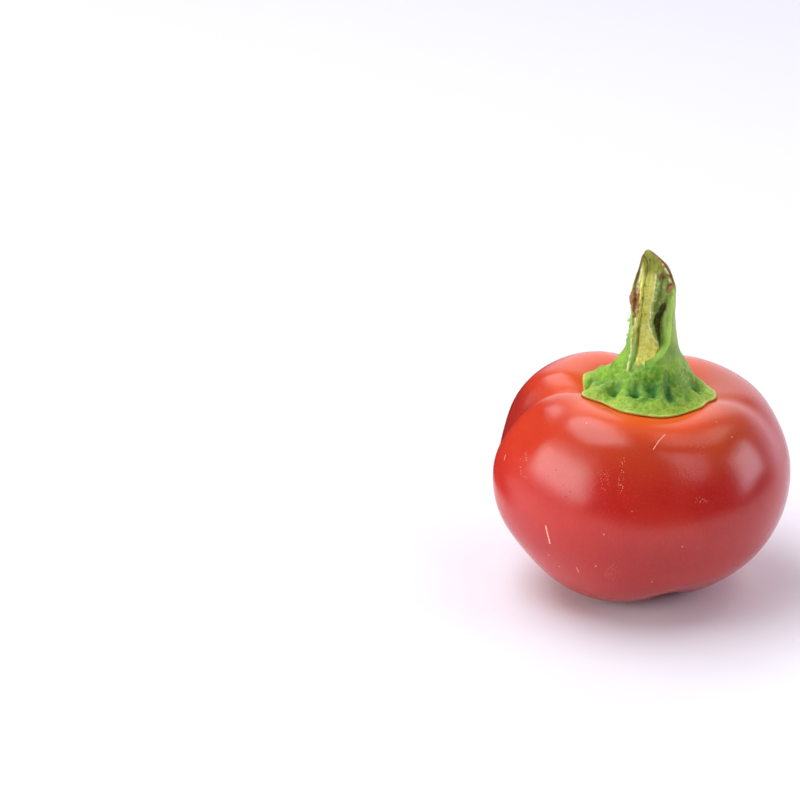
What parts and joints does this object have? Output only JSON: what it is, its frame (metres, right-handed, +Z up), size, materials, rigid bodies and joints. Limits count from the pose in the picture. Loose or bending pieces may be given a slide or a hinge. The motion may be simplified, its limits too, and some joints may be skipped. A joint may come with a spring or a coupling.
{
  "type": "hot cherry pepper",
  "caption": "Squat round red chilli fruit standing on its blossom end, with a green star-shaped calyx and a short upright stem torn open down the front.",
  "frame": {"origin": "middle of the overall box at the level the lobes stand on", "axes": "+Z up along the stem, +X to the right and -Y towards the viewer, with the torn side of the stem facing -Y"},
  "size_m": [0.0422, 0.0402, 0.0496],
  "materials": {
    "pepper_skin": "smooth waxy red skin with a soft gloss, going to orange round the calyx",
    "calyx_green": "matt fresh green plant tissue, pale yellow-green pith where the stem is torn"
  },
  "bodies": {
    "root": {"fruit": "pepper_skin", "calyx_and_stem": "calyx_green"}
  },
  "joints": []
}
